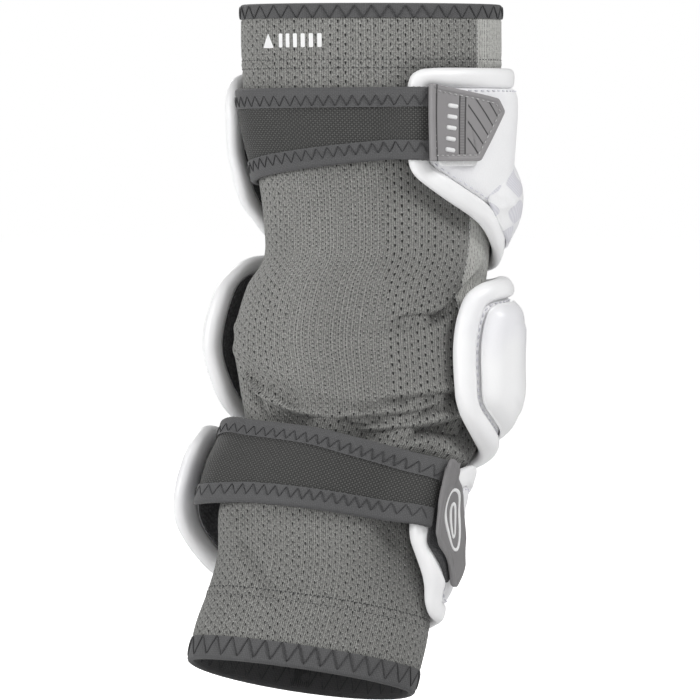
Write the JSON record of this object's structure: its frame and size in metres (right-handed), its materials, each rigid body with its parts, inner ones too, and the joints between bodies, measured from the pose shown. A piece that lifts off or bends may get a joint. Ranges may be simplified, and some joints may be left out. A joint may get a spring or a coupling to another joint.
{
  "type": "lacrosse arm pad",
  "caption": "Sleeve-style lacrosse arm pad: stretch mesh tube with padded bicep, elbow cap and forearm guards, elastic straps across the crook and rubber pull tabs.",
  "frame": {"origin": "middle of the arm that wears the pad, at the elbow", "axes": "+Z along the arm to the shoulder, -Y out of the crook side, +X to the side the pull tabs are on"},
  "size_m": [0.1677, 0.1226, 0.3331],
  "materials": {
    "mesh_fabric": "ribbed stretch mesh with eyelets",
    "edge_tape": "folded elastic tape with zigzag stitching",
    "webbing": "ribbed elastic webbing",
    "rubber": "matte moulded rubber",
    "white_shell": "smooth coated foam skin",
    "white_fabric": "smooth coated fabric over foam",
    "liner": "brushed knit",
    "hook_white": "hook tape",
    "hook_grey": "hook tape"
  },
  "bodies": {
    "root": {"sleeve": "mesh_fabric", "upper_cuff_binding": "edge_tape", "lower_cuff_binding": "edge_tape", "bicep_rim": "white_shell", "bicep_pad": "white_fabric", "bicep_liner": "liner", "bicep_bulge": "white_fabric", "elbow_rim": "white_shell", "elbow_pad": "white_fabric", "elbow_liner": "liner", "elbow_cap": "white_shell", "forearm_rim": "white_shell", "forearm_pad": "white_fabric", "forearm_liner": "liner", "forearm_panel": "white_fabric", "upper_strap": "webbing", "upper_strap_top_tape": "edge_tape", "upper_strap_bottom_tape": "edge_tape", "lower_strap": "webbing", "lower_strap_top_tape": "edge_tape", "lower_strap_bottom_tape": "edge_tape", "upper_hook_patch": "hook_white", "upper_tab": "rubber", "lower_hook_patch": "hook_grey", "lower_tab": "rubber"}
  },
  "joints": []
}
